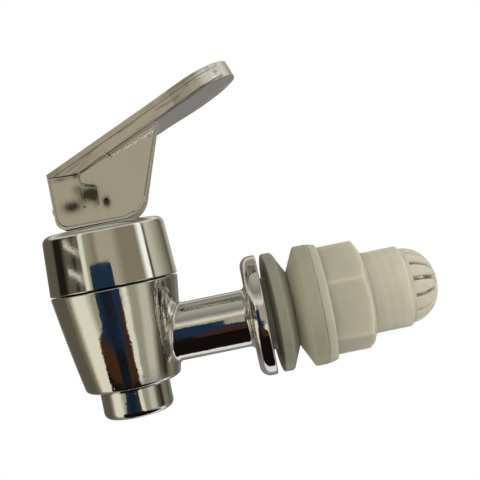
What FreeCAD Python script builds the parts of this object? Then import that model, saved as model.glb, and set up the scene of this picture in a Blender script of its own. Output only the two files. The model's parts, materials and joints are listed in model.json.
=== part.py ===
import FreeCAD, Part
import math
import os
import Sketcher

# Beverage dispenser spigot: a chromed tap with a lever over a bonnet, a silicone
# seat cup lifted by the valve stem, and a shank clamped through the wall of a
# vessel by two silicone washers and a strainer nut.
# Millimetres. The origin is the centre of the flange's sealing face. +X runs
# along the shank into the vessel and +Z is up.

os.makedirs("parts", exist_ok=True)
doc = FreeCAD.newDocument("BeverageSpigot")
sheet = doc.addObject("Spreadsheet::Sheet", "Sizes")
others = set(globals())

gap = 0.3  # air between pieces that do not touch
running = 0.1  # radial clearance of a running fit

reach = 35.5  # cup axis to sealing face
cup_radius = 15.8  # cup and bonnet at the seam
belly_radius = 13.8  # cup at the tube's height
belly_height = 0.0  # height of that section
foot_radius = 11.7  # cup at its bottom
foot_depth = 10.4  # cup bottom below the shank axis
foot_round = 2.0  # rounding of the cup's bottom edge
floor_thickness = 2.2  # cup floor
seam_height = 14.6  # lower edge of the bonnet
neck_wall = 2.0  # wall of the neck
cavity_bend = 4.0  # height where the cavity starts to taper
foot_wall = 2.0  # wall of the cup at the floor
seat_height = 0.8  # raised seat above the floor
seat_width = 1.2  # radial width of the raised seat
port_radius = 5.0  # port through the floor
nozzle_radius = 8.7  # outside of the nozzle
nozzle_bore = 6.7  # inside of the nozzle
nozzle_depth = 17.5  # nozzle end below the shank axis
nozzle_round = 1.4  # rounding of the nozzle's edge

tube_radius = 7.1  # tube between cup and flange
flange_radius = 15.0  # clamp flange
flange_thickness = 4.2  # clamp flange
flange_round = 2.6  # front edge of the flange
saddle_round = 1.0  # root of the tube on the cup and on the flange
shank_radius = 7.9  # shank over the thread
shank_length = 33.0  # shank behind the flange
shank_bore = 5.0  # waterway
thread_pitch = 2.4  # advance of the nut per turn
thread_depth = 1.0  # depth of the thread

bonnet_wall = 2.0  # skirt of the bonnet
bonnet_top_radius = 15.05  # bonnet at its top
bonnet_height = 29.4  # top face of the bonnet
bonnet_round = 1.8  # top edge of the bonnet
bonnet_ceiling = 3.0  # thickness of the bonnet's top
rim_thickness = 1.6  # seat cup rim clamped under the bonnet
recess_depth = 3.4  # room inside the bonnet above that rim

stem_radius = 2.9  # valve stem
button_radius = 4.6  # button held in the plug
button_height = 2.4  # button held in the plug
collar_radius = 6.2  # collar under the spring
collar_height = 1.2  # collar under the spring
head_length = 7.0  # stem head along the lever
head_height = 6.2  # stem head
stud_radius = 1.6  # pivot studs of the stem head
pivot_rise = 4.2  # pivot above the bonnet

plug_radius = 7.0  # plug of the seat cup
plug_height = 6.6  # plug of the seat cup
plug_skin = 2.2  # silicone under the button
bell_foot_gap = 0.8  # water gap round the bell at the floor
bell_top_gap = 1.1  # water gap round the bell at the rim
bell_wall = 1.3  # bell wall

coil_radius = 4.7  # return spring, centre of the wire
wire_radius = 0.5  # return spring wire
coil_turns = 8  # return spring turns

lever_turn_angle = 5.0  # lever turned on the stem
cheek_half = 8.0  # outside of the cheeks from the middle
cheek_wall = 1.8  # wall of the cheeks
cheek_back = 10.0  # back of the lever from the stem axis
cheek_front = 10.6  # front lower corner of the cheek
cheek_lean_angle = 19.1  # front edge of the cheek from upright
cam_round = 6.5  # cam corner of the cheek
heel_round = 2.4  # back lower corner of the cheek
paddle_rise = 13.9  # back edge of the paddle's top above the bonnet
paddle_angle = 23.6  # paddle from level
paddle_bend = 28.0  # where the paddle starts to droop
droop_angle = 20.5  # paddle from level beyond the bend
paddle_thickness = 4.5  # paddle, measured upright
paddle_heel_half = 8.6  # half width at the back
paddle_waist_half = 10.3  # half width before the lobe
lobe_centre = 26.6  # centre of the round end
lobe_radius = 12.5  # round end
waist_round = 9.0  # concave blend into the lobe
paddle_corner = 2.2  # back corners seen from above
paddle_edge = 0.9  # rounding of the paddle's top edge

washer_radius = 15.0  # silicone washers
washer_boss = 9.0  # hub on the flat side
washer_apex = 9.2  # apex of the cone
washer_boss_height = 1.4  # hub to rim on the outer washer
washer_rim = 2.4  # rim of the outer washer
washer_cone = 2.9  # cone of the outer washer
inner_cone = 2.8  # cone of the inner washer
inner_rim = 3.4  # rim of the inner washer

nut_collar_radius = 15.0  # collar of the nut
nut_collar_length = 2.2  # collar of the nut
hex_corner = 14.0  # hexagon across its corners, half
hex_turn = 37.0  # turn of the hexagon, degrees
hex_length = 10.8  # hexagon with its chamfer
hex_chamfer = 2.7  # chamfer of the hexagon
hex_chamfer_low = 10.6  # radius where the chamfer ends
sleeve_radius = 10.1  # sleeve behind the hexagon
sleeve_overhang = 1.4  # sleeve beyond the shank's end
sleeve_step = 0.8  # taper from the sleeve to the crown
crown_radius = 9.3  # strainer crown
crown_neck = 2.2  # sleeve's end to the dome
crown_shoulder = 3.4  # dome, first section
crown_shoulder_radius = 7.7  # dome, first section
crown_brow = 1.9  # dome, second section
crown_brow_radius = 4.9  # dome, second section
crown_tip = 0.8  # dome, last section
crown_wall = 1.7  # wall of the crown
slot_width = 1.2  # strainer slots
slot_count = 14  # strainer slots
slot_lead = 0.9  # slots begin before the dome
slot_reach = 4.2  # radius where the slots stop on the end

# Every size above goes into the sheet under its own name.
names = [name for name in globals() if name not in others and name != "others"]
for row, name in enumerate(names, 1):
    sheet.set("A%d" % row, name)
    sheet.set("B%d" % row, str(globals()[name]))
    sheet.setAlias("B%d" % row, name)
doc.recompute()


def planeOf(body, role):
    for feature in body.Origin.OriginFeatures:
        if feature.Role == role:
            return feature
    raise ValueError(role)


def newBody(label):
    body = doc.addObject("PartDesign::Body", label)
    body.Label = label
    return body


def newSketch(body, name, role):
    sketch = body.newObject("Sketcher::SketchObject", name)
    sketch.AttachmentSupport = (planeOf(body, role), [""])
    sketch.MapMode = "FlatFace"
    return sketch


# A sketch point is held by its distances from the origin, each bound to the sheet.
def pin(sketch, geometry, end, across, up, guess):
    index = sketch.addConstraint(Sketcher.Constraint("DistanceX", -1, 1, geometry, end, guess.x))
    sketch.setExpression("Constraints[%d]" % index, across)
    index = sketch.addConstraint(Sketcher.Constraint("DistanceY", -1, 1, geometry, end, guess.y))
    sketch.setExpression("Constraints[%d]" % index, up)


def outline(sketch, corners):
    count = len(corners)
    first = sketch.GeometryCount
    ring = []
    for step in range(count):
        turn = 2.0 * math.pi * step / count
        ring.append(FreeCAD.Vector(reach * math.cos(turn), reach * math.sin(turn), 0))
    for step in range(count):
        sketch.addGeometry(Part.LineSegment(ring[step], ring[(step + 1) % count]), False)
    for step in range(count):
        follower = first + (step + 1) % count
        sketch.addConstraint(Sketcher.Constraint("Coincident", first + step, 2, follower, 1))
    for step in range(count):
        across, up = corners[step]
        pin(sketch, first + step, 1, across, up, ring[step])
    return sketch


def disc(sketch, across, up, radius):
    start = FreeCAD.Vector(1, 1, 0)
    index = sketch.addGeometry(Part.Circle(start, FreeCAD.Vector(0, 0, 1), 1.0), False)
    pin(sketch, index, 3, across, up, start)
    bound = sketch.addConstraint(Sketcher.Constraint("Radius", index, 1.0))
    sketch.setExpression("Constraints[%d]" % bound, radius)
    return sketch


def turned(body, name, kind, axis, corners):
    sketch = outline(newSketch(body, name + "Sketch", "XZ_Plane"), corners)
    feature = body.newObject(kind, name)
    feature.Profile = sketch
    feature.ReferenceAxis = (sketch, [axis])
    feature.Angle = 360
    doc.recompute()
    return feature


def revolve(body, name, axis, corners):
    return turned(body, name, "PartDesign::Revolution", axis, corners)


def groove(body, name, axis, corners):
    return turned(body, name, "PartDesign::Groove", axis, corners)


def pad(body, name, sketch, length, midplane=False):
    feature = body.newObject("PartDesign::Pad", name)
    feature.Profile = sketch
    if midplane:
        feature.SideType = "Symmetric"
    feature.setExpression("Length", length)
    doc.recompute()
    return feature


def pocket(body, name, sketch, length, midplane=False, reversed=False):
    feature = body.newObject("PartDesign::Pocket", name)
    feature.Profile = sketch
    if midplane:
        feature.SideType = "Symmetric"
    feature.Reversed = reversed
    feature.setExpression("Length", length)
    doc.recompute()
    return feature


def edgesWhere(shape, wanted):
    names = []
    for number, edge in enumerate(shape.Edges, 1):
        if edge.Degenerated:
            continue
        middle = edge.valueAt(0.5 * (edge.FirstParameter + edge.LastParameter))
        if wanted(edge, middle):
            names.append("Edge%d" % number)
    return names


def dressed(body, name, kind, bound, amount, wanted):
    base = body.Tip
    names = edgesWhere(base.Shape, wanted)
    if not names:
        raise ValueError("no edge for " + name)
    feature = body.newObject(kind, name)
    feature.Base = (base, names)
    feature.setExpression(bound, amount)
    doc.recompute()
    return feature


def fillet(body, name, radius, wanted):
    return dressed(body, name, "PartDesign::Fillet", "Radius", radius, wanted)


def chamfer(body, name, amount, wanted):
    return dressed(body, name, "PartDesign::Chamfer", "Size", amount, wanted)


def near(first, second, slack=0.02):
    return abs(first - second) < slack


# A full circle about the body's own Z axis, at a height and a radius.
def ringZ(height, radius):
    def wanted(edge, middle):
        across = math.hypot(middle.x, middle.y)
        return near(middle.z, height) and near(across, radius)
    return wanted


def ringX(station, radius):
    def wanted(edge, middle):
        across = math.hypot(middle.y, middle.z)
        return near(middle.x, station) and near(across, radius)
    return wanted



# Heights and stations that follow from the sizes, as expressions on the sheet.
neckRadius = "(Sizes.cup_radius - Sizes.bonnet_wall - Sizes.gap)"
neckInside = "(" + neckRadius + " - Sizes.neck_wall)"
skirtInside = "(Sizes.cup_radius - Sizes.bonnet_wall)"
floorHeight = "(Sizes.floor_thickness - Sizes.foot_depth)"
seatTop = "(" + floorHeight + " + Sizes.seat_height)"
ceiling = "(Sizes.bonnet_height - Sizes.bonnet_ceiling)"
rimTop = "(" + ceiling + " - Sizes.recess_depth)"
neckTop = "(" + rimTop + " - Sizes.rim_thickness)"
pivotHeight = "(Sizes.bonnet_height + Sizes.pivot_rise)"
cavityFoot = "(Sizes.foot_radius - Sizes.foot_wall)"
bellRadius = "(" + cavityFoot + " - Sizes.bell_foot_gap)"
bellTopRadius = "(" + neckInside + " - Sizes.bell_top_gap)"
plugTop = "(" + seatTop + " + Sizes.plug_height)"
buttonBottom = "(" + seatTop + " + Sizes.plug_skin + Sizes.gap)"
buttonTop = "(" + buttonBottom + " + Sizes.button_height)"
collarBottom = "(" + plugTop + " + Sizes.gap)"
collarTop = "(" + collarBottom + " + Sizes.collar_height)"
slotHalf = "(Sizes.cheek_half - Sizes.cheek_wall)"

washerMeet = "(Sizes.washer_boss_height + Sizes.washer_rim + Sizes.washer_cone)"
innerRimStart = "(" + washerMeet + " + Sizes.inner_cone)"
nutStart = "(" + innerRimStart + " + Sizes.inner_rim)"
collarEnd = "(" + nutStart + " + Sizes.nut_collar_length)"
hexEnd = "(" + collarEnd + " + Sizes.hex_length)"
sleeveEnd = "(Sizes.shank_length + Sizes.sleeve_overhang)"
crownStart = "(" + sleeveEnd + " + Sizes.crown_neck)"
crownShoulder = "(" + crownStart + " + Sizes.crown_shoulder)"
crownBrow = "(" + crownShoulder + " + Sizes.crown_brow)"
crownEnd = "(" + crownBrow + " + Sizes.crown_tip)"

# Cup, nozzle, tube, clamp flange and shank: one chromed casting.
spigot = newBody("spigot_body")
spigot.setExpression("Placement.Base.x", "-Sizes.reach")
revolve(spigot, "Cup", "V_Axis", [
    ("0", "-Sizes.nozzle_depth"),
    ("Sizes.nozzle_radius", "-Sizes.nozzle_depth"),
    ("Sizes.nozzle_radius", "-Sizes.foot_depth"),
    ("Sizes.foot_radius", "-Sizes.foot_depth"),
    ("Sizes.belly_radius", "Sizes.belly_height"),
    ("Sizes.cup_radius", "Sizes.seam_height - Sizes.gap"),
    (neckRadius, "Sizes.seam_height - Sizes.gap"),
    (neckRadius, neckTop),
    ("0", neckTop)])
fillet(spigot, "FootRound", "Sizes.foot_round", ringZ(-foot_depth, foot_radius))
fillet(spigot, "NozzleRound", "Sizes.nozzle_round", ringZ(-nozzle_depth, nozzle_radius))
revolve(spigot, "Tube", "H_Axis", [
    ("0", "0"),
    ("0", "Sizes.tube_radius"),
    ("Sizes.reach - Sizes.flange_thickness", "Sizes.tube_radius"),
    ("Sizes.reach - Sizes.flange_thickness", "Sizes.flange_radius"),
    ("Sizes.reach", "Sizes.flange_radius"),
    ("Sizes.reach", "Sizes.shank_radius"),
    ("Sizes.reach + Sizes.shank_length", "Sizes.shank_radius"),
    ("Sizes.reach + Sizes.shank_length", "0")])
flangeFront = reach - flange_thickness
fillet(spigot, "FlangeRound", "Sizes.flange_round", ringX(flangeFront, flange_radius))
fillet(spigot, "TubeRoot", "Sizes.saddle_round", ringX(flangeFront, tube_radius))


def onSaddle(edge, middle):
    across = math.hypot(middle.y, middle.z)
    outside = math.hypot(middle.x, middle.y) > foot_radius
    return near(across, tube_radius, 0.05) and outside and middle.x < cup_radius


fillet(spigot, "TubeSaddle", "Sizes.saddle_round", onSaddle)
groove(spigot, "Cavity", "V_Axis", [
    ("0", floorHeight),
    (cavityFoot, floorHeight),
    (neckInside, "Sizes.cavity_bend"),
    (neckInside, neckTop + " + 1"),
    ("0", neckTop + " + 1")])
revolve(spigot, "Seat", "V_Axis", [
    ("Sizes.port_radius", floorHeight + " - 0.5"),
    ("Sizes.port_radius + Sizes.seat_width", floorHeight + " - 0.5"),
    ("Sizes.port_radius + Sizes.seat_width", seatTop),
    ("Sizes.port_radius", seatTop)])
groove(spigot, "Outlet", "V_Axis", [
    ("0", "-Sizes.nozzle_depth - 1"),
    ("Sizes.nozzle_bore", "-Sizes.nozzle_depth - 1"),
    ("Sizes.nozzle_bore", "-Sizes.foot_depth - 0.6"),
    ("Sizes.port_radius", "-Sizes.foot_depth + 0.4"),
    ("Sizes.port_radius", seatTop + " + 1"),
    ("0", seatTop + " + 1")])
groove(spigot, "Waterway", "H_Axis", [
    ("0", "0"),
    ("0", "Sizes.shank_bore"),
    ("Sizes.reach + Sizes.shank_length + 1", "Sizes.shank_bore"),
    ("Sizes.reach + Sizes.shank_length + 1", "0")])
shankEnd = reach + shank_length
chamfer(spigot, "ShankLead", "Sizes.thread_depth", ringX(shankEnd, shank_radius))

# Bonnet: screwed over the neck, clamps the rim of the seat cup.
bonnet = newBody("bonnet")
bonnet.setExpression("Placement.Base.x", "-Sizes.reach")
revolve(bonnet, "Cap", "V_Axis", [
    (skirtInside, "Sizes.seam_height"),
    ("Sizes.cup_radius", "Sizes.seam_height"),
    ("Sizes.bonnet_top_radius", "Sizes.bonnet_height"),
    ("Sizes.stem_radius + Sizes.running", "Sizes.bonnet_height"),
    ("Sizes.stem_radius + Sizes.running", ceiling),
    (neckInside, ceiling),
    (neckInside, rimTop),
    (skirtInside, rimTop)])
fillet(bonnet, "CapRound", "Sizes.bonnet_round",
       ringZ(bonnet_height, bonnet_top_radius))

# Valve stem: button in the plug, collar under the spring, head between the cheeks.
stem = newBody("valve_stem")
stem.setExpression("Placement.Base.x", "-Sizes.reach")
stem.setExpression("Placement.Rotation.Angle", "Sizes.lever_turn_angle")
headBottom = "(" + pivotHeight + " - 0.5 * Sizes.head_height)"
revolve(stem, "Rod", "V_Axis", [
    ("0", buttonBottom),
    ("Sizes.button_radius", buttonBottom),
    ("Sizes.button_radius", buttonTop),
    ("Sizes.stem_radius", buttonTop),
    ("Sizes.stem_radius", collarBottom),
    ("Sizes.collar_radius", collarBottom),
    ("Sizes.collar_radius", collarTop),
    ("Sizes.stem_radius", collarTop),
    ("Sizes.stem_radius", pivotHeight),
    ("0", pivotHeight)])
headSketch = outline(newSketch(stem, "HeadSketch", "XZ_Plane"), [
    ("-0.5 * Sizes.head_length", headBottom),
    ("0.5 * Sizes.head_length", headBottom),
    ("0.5 * Sizes.head_length", headBottom + " + Sizes.head_height"),
    ("-0.5 * Sizes.head_length", headBottom + " + Sizes.head_height")])
pad(stem, "Head", headSketch, "2 * (" + slotHalf + " - Sizes.gap)", True)
studSketch = disc(newSketch(stem, "StudSketch", "XZ_Plane"), "0", pivotHeight, "Sizes.stud_radius")
pad(stem, "Studs", studSketch, "2 * (" + slotHalf + " + 0.5 * Sizes.cheek_wall)", True)
headTop = bonnet_height + pivot_rise + 0.5 * head_height


def headCorner(edge, middle):
    return near(abs(middle.x), 0.5 * head_length) and near(middle.z, headTop)


fillet(stem, "HeadRound", "0.35 * Sizes.head_length", headCorner)

# Seat cup: silicone bell with a clamped rim and a plug on the seat.
seatCup = newBody("seat_cup")
seatCup.setExpression("Placement.Base.x", "-Sizes.reach")
revolve(seatCup, "Bell", "V_Axis", [
    ("0", seatTop),
    ("Sizes.plug_radius", seatTop),
    (bellRadius, seatTop + " + 0.4 * Sizes.plug_height"),
    (bellRadius, plugTop + " + 1"),
    (bellTopRadius, neckTop + " - Sizes.rim_thickness"),
    (bellTopRadius, neckTop),
    (neckRadius, neckTop),
    (neckRadius, rimTop),
    (bellTopRadius + " - Sizes.bell_wall", rimTop),
    (bellTopRadius + " - Sizes.bell_wall", neckTop + " - Sizes.rim_thickness"),
    (bellRadius + " - Sizes.bell_wall", plugTop + " + 1"),
    (bellRadius + " - Sizes.bell_wall", plugTop),
    ("Sizes.stem_radius + Sizes.gap", plugTop),
    ("Sizes.stem_radius + Sizes.gap", buttonTop + " + Sizes.gap"),
    ("Sizes.button_radius + Sizes.gap", buttonTop + " + Sizes.gap"),
    ("Sizes.button_radius + Sizes.gap", buttonBottom + " - Sizes.gap"),
    ("0", buttonBottom + " - Sizes.gap")])

# Return spring: steel wire between the collar and the bonnet.
spring = newBody("return_spring")
spring.setExpression("Placement.Base.x", "-Sizes.reach")
wireStart = "(" + collarTop + " + Sizes.gap + Sizes.wire_radius)"
wireSketch = disc(newSketch(spring, "WireSketch", "XZ_Plane"), "Sizes.coil_radius", wireStart,
                  "Sizes.wire_radius")
coil = spring.newObject("PartDesign::AdditiveHelix", "Coil")
coil.Profile = wireSketch
coil.ReferenceAxis = (wireSketch, ["V_Axis"])
coil.Mode = "height-turns-angle"
coil.setExpression("Height", ceiling + " - " + wireStart + " - Sizes.gap - Sizes.wire_radius")
coil.setExpression("Turns", "Sizes.coil_turns")
doc.recompute()

# Lever: hollow cheeks that cam on the bonnet, and a paddle with a round lobe.
lever = newBody("lever")
lever.setExpression("Placement.Base.x", "-Sizes.reach")
lever.setExpression("Placement.Rotation.Angle", "Sizes.lever_turn_angle")
cheekFoot = "(Sizes.bonnet_height + Sizes.gap)"
tipStation = "(Sizes.lobe_centre + Sizes.lobe_radius)"


def paddleTop(station, drop="0"):
    return "(Sizes.bonnet_height + Sizes.paddle_rise + tan(Sizes.paddle_angle * 1 deg) * (" + station + " + Sizes.cheek_back) - " + drop + ")"


bendTop = paddleTop("Sizes.paddle_bend")
tipTop = "(" + bendTop + " + tan(Sizes.droop_angle * 1 deg) * (" + tipStation + " + 1 - Sizes.paddle_bend))"
paddleSketch = outline(newSketch(lever, "PaddleSketch", "XZ_Plane"), [
    ("-Sizes.cheek_back", paddleTop("-Sizes.cheek_back", "Sizes.paddle_thickness")),
    ("Sizes.paddle_bend", bendTop + " - Sizes.paddle_thickness"),
    (tipStation + " + 1", tipTop + " - Sizes.paddle_thickness"),
    (tipStation + " + 1", tipTop),
    ("Sizes.paddle_bend", bendTop),
    ("-Sizes.cheek_back", "Sizes.bonnet_height + Sizes.paddle_rise")])
pad(lever, "PaddleBlank", paddleSketch, "2 * Sizes.lobe_radius + 2", True)

waistStation = lobe_centre - math.sqrt(lobe_radius ** 2 - paddle_waist_half ** 2)
lobeTip = FreeCAD.Vector(lobe_centre + lobe_radius, 0, 0)
nearWaist = FreeCAD.Vector(waistStation, -paddle_waist_half, 0)
farWaist = FreeCAD.Vector(waistStation, paddle_waist_half, 0)
nearHeel = FreeCAD.Vector(-cheek_back, -paddle_heel_half, 0)
farHeel = FreeCAD.Vector(-cheek_back, paddle_heel_half, 0)
planSketch = newSketch(lever, "PlanSketch", "XY_Plane")
planSketch.addGeometry(Part.LineSegment(nearHeel, nearWaist), False)
planSketch.addGeometry(Part.Arc(nearWaist, lobeTip, farWaist), False)
planSketch.addGeometry(Part.LineSegment(farWaist, farHeel), False)
planSketch.addGeometry(Part.LineSegment(farHeel, nearHeel), False)
arcStart = planSketch.Geometry[1].StartPoint
startsNear = arcStart.y < 0
planSketch.addConstraint(Sketcher.Constraint("Coincident", 0, 2, 1, 1 if startsNear else 2))
planSketch.addConstraint(Sketcher.Constraint("Coincident", 1, 2 if startsNear else 1, 2, 1))
planSketch.addConstraint(Sketcher.Constraint("Coincident", 2, 2, 3, 1))
planSketch.addConstraint(Sketcher.Constraint("Coincident", 3, 2, 0, 1))
pin(planSketch, 0, 1, "-Sizes.cheek_back", "-Sizes.paddle_heel_half", nearHeel)
pin(planSketch, 3, 1, "-Sizes.cheek_back", "Sizes.paddle_heel_half", farHeel)
pin(planSketch, 1, 3, "Sizes.lobe_centre", "0", FreeCAD.Vector(lobe_centre, 0, 0))
lobeBound = planSketch.addConstraint(Sketcher.Constraint("Radius", 1, lobe_radius))
planSketch.setExpression("Constraints[%d]" % lobeBound, "Sizes.lobe_radius")
bound = planSketch.addConstraint(Sketcher.Constraint("DistanceY", 0, 2, -1, 1, paddle_waist_half))
planSketch.setExpression("Constraints[%d]" % bound, "Sizes.paddle_waist_half")
bound = planSketch.addConstraint(Sketcher.Constraint("DistanceY", -1, 1, 2, 1, paddle_waist_half))
planSketch.setExpression("Constraints[%d]" % bound, "Sizes.paddle_waist_half")
farX = "(" + tipStation + " + 5)"
farY = "(Sizes.lobe_radius + 5)"
outline(planSketch, [
    ("-Sizes.cheek_back - 5", "-" + farY),
    (farX, "-" + farY),
    (farX, farY),
    ("-Sizes.cheek_back - 5", farY)])
pocket(lever, "PaddlePlan", planSketch, "4 * " + pivotHeight, True)


def uprightAt(station, half):
    def wanted(edge, middle):
        upright = near(edge.Vertexes[0].X, edge.Vertexes[-1].X) and near(edge.Vertexes[0].Y, edge.Vertexes[-1].Y)
        return upright and near(middle.x, station) and near(abs(middle.y), half)
    return wanted


fillet(lever, "WaistRound", "Sizes.waist_round", uprightAt(waistStation, paddle_waist_half))
fillet(lever, "PaddleCorners", "Sizes.paddle_corner",
       uprightAt(-cheek_back, paddle_heel_half))


def topEdge(edge, middle):
    level = min(middle.x, paddle_bend)
    rise = bonnet_height + paddle_rise + math.tan(math.radians(paddle_angle)) * (level + cheek_back)
    rise += math.tan(math.radians(droop_angle)) * (middle.x - level)
    atBend = near(edge.Vertexes[0].X, paddle_bend) and near(edge.Vertexes[-1].X, paddle_bend)
    return near(middle.z, rise, 0.05) and not atBend


fillet(lever, "PaddleEdge", "Sizes.paddle_edge", topEdge)

frontAt = "(Sizes.cheek_front + tan(Sizes.cheek_lean_angle * 1 deg) * (%s - " + cheekFoot + "))"
cheekTop = paddleTop("Sizes.cheek_front", "0.5 * Sizes.paddle_thickness")
cheekSketch = outline(newSketch(lever, "CheekSketch", "XZ_Plane"), [
    ("-Sizes.cheek_back", cheekFoot),
    ("Sizes.cheek_front", cheekFoot),
    (frontAt % cheekTop, cheekTop),
    ("-Sizes.cheek_back", paddleTop("-Sizes.cheek_back", "0.5 * Sizes.paddle_thickness"))])
pad(lever, "Cheeks", cheekSketch, "2 * Sizes.cheek_half", True)
footHeight = bonnet_height + gap


def acrossFoot(station):
    def wanted(edge, middle):
        return near(middle.x, station) and near(middle.z, footHeight) and near(middle.y, 0)
    return wanted


fillet(lever, "CamRound", "Sizes.cam_round", acrossFoot(cheek_front))
fillet(lever, "HeelRound", "Sizes.heel_round", acrossFoot(-cheek_back))
slotBack = "(Sizes.cheek_wall - Sizes.cheek_back)"
slotFront = "(Sizes.cheek_front + 12)"
slotSketch = outline(newSketch(lever, "SlotSketch", "XZ_Plane"), [
    (slotBack, cheekFoot + " - 1"),
    (slotFront, cheekFoot + " - 1"),
    (slotFront, paddleTop(slotFront, "Sizes.paddle_thickness")),
    (slotBack, paddleTop(slotBack, "Sizes.paddle_thickness"))])
pocket(lever, "Slot", slotSketch, "2 * " + slotHalf, True)
socketSketch = disc(newSketch(lever, "SocketSketch", "XZ_Plane"), "0", pivotHeight,
                    "Sizes.stud_radius + Sizes.running")
pocket(lever, "Sockets", socketSketch, "2 * (" + slotHalf + " + 0.5 * Sizes.cheek_wall + Sizes.gap)", True)

# Outer washer: silicone, on the sealing face of the flange.
washerBore = "(Sizes.shank_radius + Sizes.gap)"
outerWasher = newBody("outer_washer")
revolve(outerWasher, "Profile", "H_Axis", [
    ("0", washerBore),
    ("0", "Sizes.washer_boss"),
    ("0.35 * Sizes.washer_boss_height", "Sizes.washer_boss"),
    ("Sizes.washer_boss_height", "Sizes.washer_radius - 0.2"),
    ("Sizes.washer_boss_height + Sizes.washer_rim", "Sizes.washer_radius - 0.2"),
    (washerMeet, "Sizes.washer_apex"),
    (washerMeet, washerBore)])

# Inner washer: its mirror image, between the vessel's wall and the nut.
innerWasher = newBody("inner_washer")
revolve(innerWasher, "Profile", "H_Axis", [
    (washerMeet, washerBore),
    (washerMeet, "Sizes.washer_apex"),
    (innerRimStart, "Sizes.washer_radius"),
    (nutStart, "Sizes.washer_radius"),
    (nutStart, washerBore)])

# Strainer nut: collar, hexagon, sleeve and a slotted crown in one moulding.
nut = newBody("strainer_nut")
nutBore = "(Sizes.shank_radius + Sizes.running)"
nutBoreEnd = "(Sizes.shank_length + Sizes.gap)"
revolve(nut, "Turning", "H_Axis", [
    (nutStart, "0"),
    (nutStart, "Sizes.nut_collar_radius"),
    (collarEnd, "Sizes.nut_collar_radius - 0.6"),
    (collarEnd, "Sizes.sleeve_radius"),
    (sleeveEnd, "Sizes.sleeve_radius"),
    (sleeveEnd + " + Sizes.sleeve_step", "Sizes.crown_radius"),
    (crownStart, "Sizes.crown_radius"),
    (crownShoulder, "Sizes.crown_shoulder_radius"),
    (crownBrow, "Sizes.crown_brow_radius"),
    (crownEnd, "0.5 * Sizes.crown_brow_radius"),
    (crownEnd, "0")])
hexSketch = newSketch(nut, "HexSketch", "YZ_Plane")
hexCorners = []
for corner in range(6):
    angle = "(Sizes.hex_turn + %d) * 1 deg" % (60 * corner)
    hexCorners.append(("Sizes.hex_corner * cos(" + angle + ")", "Sizes.hex_corner * sin(" + angle + ")"))
outline(hexSketch, hexCorners)
pad(nut, "Hexagon", hexSketch, hexEnd)
groove(nut, "HexLead", "H_Axis", [
    ("0 - 1", "0"),
    (nutStart, "0"),
    (nutStart, "Sizes.hex_corner + 1"),
    ("0 - 1", "Sizes.hex_corner + 1")])
groove(nut, "HexChamfer", "H_Axis", [
    (hexEnd + " - Sizes.hex_chamfer", "Sizes.hex_corner + 0.3"),
    (hexEnd + " + 1", "Sizes.hex_corner + 0.3"),
    (hexEnd + " + 1", "Sizes.hex_chamfer_low"),
    (hexEnd, "Sizes.hex_chamfer_low")])
groove(nut, "Bore", "H_Axis", [
    ("0 - 2", "0"),
    ("0 - 2", nutBore),
    (nutBoreEnd + " + 1", nutBore),
    (crownStart, "Sizes.crown_radius - Sizes.crown_wall"),
    (crownShoulder + " - 0.7 * Sizes.crown_wall", "Sizes.crown_shoulder_radius - 0.8 * Sizes.crown_wall"),
    (crownEnd + " - Sizes.crown_wall", "Sizes.crown_brow_radius - 0.5 * Sizes.crown_wall"),
    (crownEnd + " - Sizes.crown_wall", "0")])
crownSlot = outline(newSketch(nut, "CrownSlotSketch", "XZ_Plane"), [
    (crownStart + " - Sizes.slot_lead", "Sizes.slot_reach"),
    (crownEnd + " + 1", "Sizes.slot_reach"),
    (crownEnd + " + 1", "Sizes.crown_radius + 2"),
    (crownStart + " - Sizes.slot_lead", "Sizes.crown_radius + 2")])
slotCut = pocket(nut, "CrownSlot", crownSlot, "Sizes.slot_width", True)
slots = nut.newObject("PartDesign::PolarPattern", "CrownSlots")
slots.Originals = [slotCut]
slots.Axis = (crownSlot, ["H_Axis"])
slots.Angle = 360
slots.setExpression("Occurrences", "Sizes.slot_count")
nut.Tip = slots

doc.recompute()
faults = []
for thing in doc.Objects:
    if "Invalid" in thing.State or "Error" in thing.State:
        faults.append(thing.Label + " " + str(thing.State))
solids = [spigot, bonnet, lever, stem, seatCup, spring, outerWasher, innerWasher, nut]
for node in solids:
    if node.Shape.isNull() or not node.Shape.isValid():
        faults.append(node.Label + " has no valid shape")
    elif len(node.Shape.Solids) != 1:
        faults.append(node.Label + " has %d solids" % len(node.Shape.Solids))
if faults:
    raise ValueError("; ".join(faults))
for node in solids:
    node.Shape.exportStep(os.path.join("parts", node.Label + ".step"))
    box = node.Shape.BoundBox
    print("%s volume %.0f, x %.2f to %.2f, z %.2f to %.2f" % (
        node.Label, node.Shape.Volume, box.XMin, box.XMax, box.ZMin, box.ZMax))
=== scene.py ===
import bmesh
import bpy
import json
import math
from mathutils import Matrix, Vector


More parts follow.
